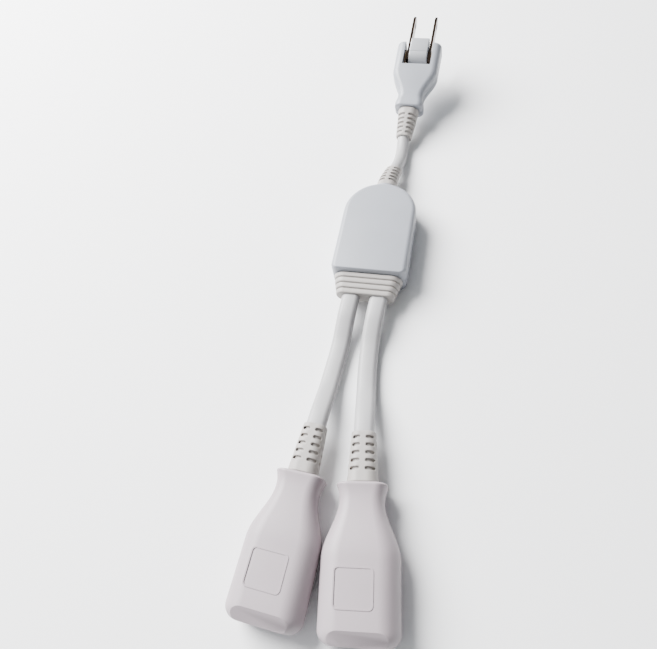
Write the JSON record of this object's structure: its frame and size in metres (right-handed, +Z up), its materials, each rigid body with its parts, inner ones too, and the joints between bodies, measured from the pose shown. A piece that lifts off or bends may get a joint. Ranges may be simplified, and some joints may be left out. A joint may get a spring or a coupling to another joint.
{
  "type": "power cord splitter",
  "caption": "Short power cord splitter with a swing-blade plug, a flat splitter body and two outlet cords that end in two-slot sockets.",
  "frame": {"origin": "middle of the splitter body's flat underside, on the surface that it lies on", "axes": "+Y along the splitter body towards the plug, +Z up, +X across"},
  "size_m": [0.0662, 0.3334, 0.0325],
  "materials": {
    "shell": "fine satin moulded housing plastic, light cool grey",
    "boot": "soft satin cord-grade vinyl, warm off-white",
    "cord": "smooth satin vinyl sheath, warm light grey",
    "rotor": "smooth moulded plastic, slightly glossy",
    "blade": "plated brass, lightly rubbed",
    "contact": "spring bronze strip",
    "splice": "insulated crimp sleeve",
    "black_core": "vinyl core insulation",
    "white_core": "vinyl core insulation"
  },
  "bodies": {
    "splitter": {"splitter_shell_top": "shell", "splitter_shell_bottom": "shell", "splitter_inlet_boot": "boot", "splitter_outlet_boot": "boot", "splice_left": "splice", "splice_right": "splice", "splitter_wire_inlet_left": "black_core", "splitter_wire_near_left": "black_core", "splitter_wire_far_left": "black_core", "splitter_wire_inlet_right": "white_core", "splitter_wire_near_right": "white_core", "splitter_wire_far_right": "white_core", "socket_left_shell_top": "shell", "socket_left_shell_bottom": "shell", "socket_left_boot": "boot", "socket_left_contact_neutral": "contact", "socket_left_contact_live": "contact", "socket_left_wire_neutral": "white_core", "socket_left_wire_live": "black_core", "socket_right_shell_top": "shell", "socket_right_shell_bottom": "shell", "socket_right_boot": "boot", "socket_right_contact_neutral": "contact", "socket_right_contact_live": "contact", "socket_right_wire_neutral": "white_core", "socket_right_wire_live": "black_core", "plug_shell_top": "shell", "plug_shell_bottom": "shell", "plug_boot": "boot", "plug_contact_left": "contact", "plug_contact_right": "contact", "plug_wire_left": "black_core", "plug_wire_right": "white_core", "inlet_cord": "cord", "outlet_cord_left": "cord", "outlet_cord_right": "cord"},
    "blade_rotor": {"plug_rotor": "rotor", "blade_left": "blade", "blade_right": "blade"}
  },
  "joints": [
    {"name": "blade_swing", "type": "hinge", "parent": "splitter", "child": "blade_rotor", "pos_m": [0.00682, 0.12177, 0.02211], "axis": [0.9983, -0.0576, 0], "range_deg": [-90, 90]}
  ]
}
